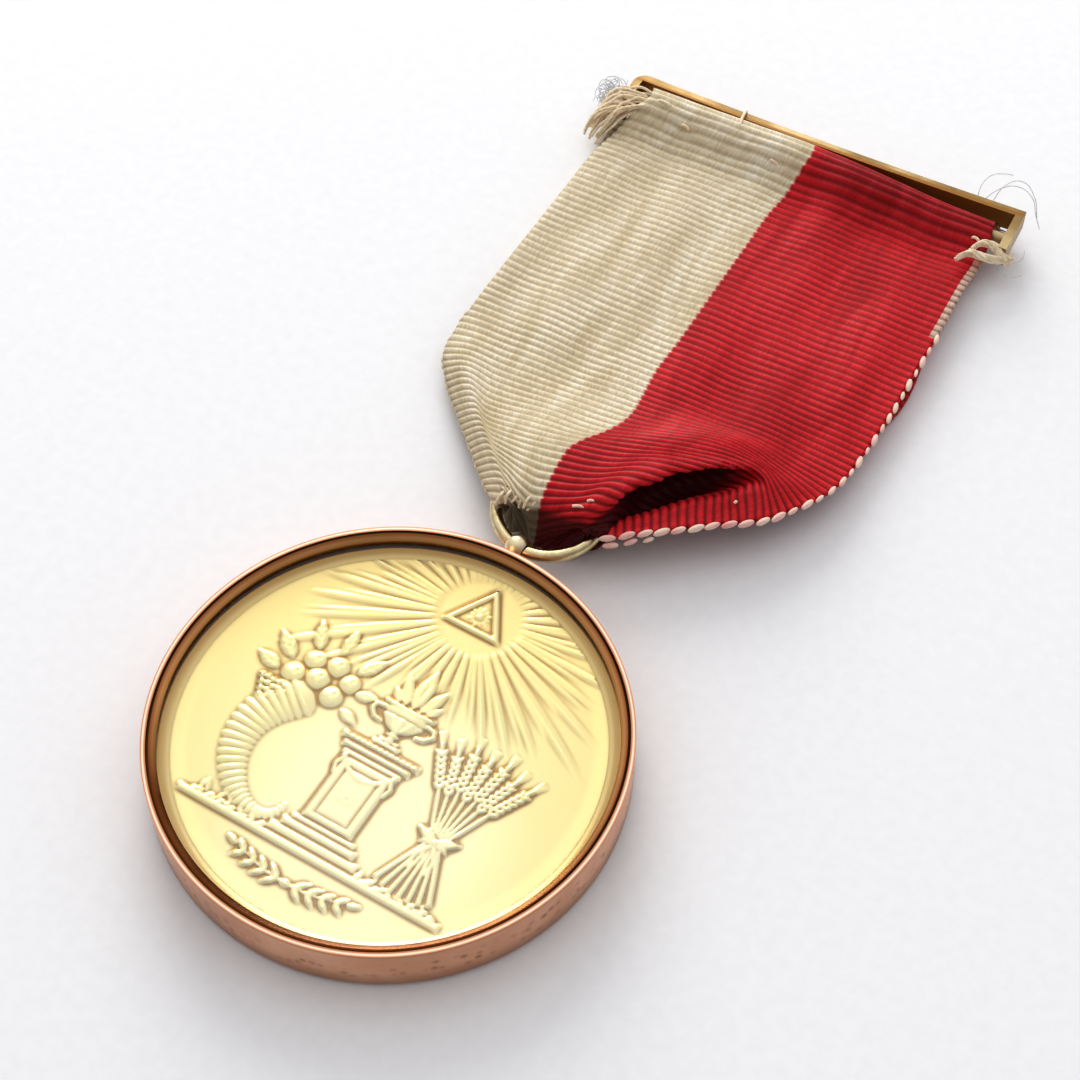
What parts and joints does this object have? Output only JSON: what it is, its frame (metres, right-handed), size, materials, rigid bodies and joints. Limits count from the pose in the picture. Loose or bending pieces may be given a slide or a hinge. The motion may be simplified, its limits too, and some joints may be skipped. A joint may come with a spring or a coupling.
{
  "type": "masonic jewel",
  "caption": "Round glazed medal in a metal case, hung by a jump ring from a pleated two-colour ribbon with a brooch bar.",
  "frame": {"origin": "centre of the case's flat back, on the surface that the jewel lies on", "axes": "+X to the right of the medal as seen from its front, +Y up the ribbon to the brooch bar, +Z out of the glazed front"},
  "size_m": [0.0433, 0.0949, 0.0065],
  "materials": {
    "rose_gold_case": "satin rose gold with small brown pits",
    "bezel_metal": "turned and polished, browned in the corner",
    "clear_glass": "flat polished glass",
    "gilt_medal": "struck and gilt, bright relief on a satin field",
    "pale_gold_wire": "polished pale gold wire",
    "ribbon_silk": "ribbed watered silk, cream on the left and crimson on the right",
    "brass_strip": "worn brass strip, dark in the corners",
    "pin_steel": "plain drawn wire"
  },
  "bodies": {
    "root": {"case_body": "rose_gold_case", "bezel_ring": "bezel_metal", "front_glass": "clear_glass", "medal": "gilt_medal", "suspension_ring": "pale_gold_wire", "ribbon": "ribbon_silk", "brooch_frame": "brass_strip", "brooch_pin": "pin_steel"}
  },
  "joints": []
}
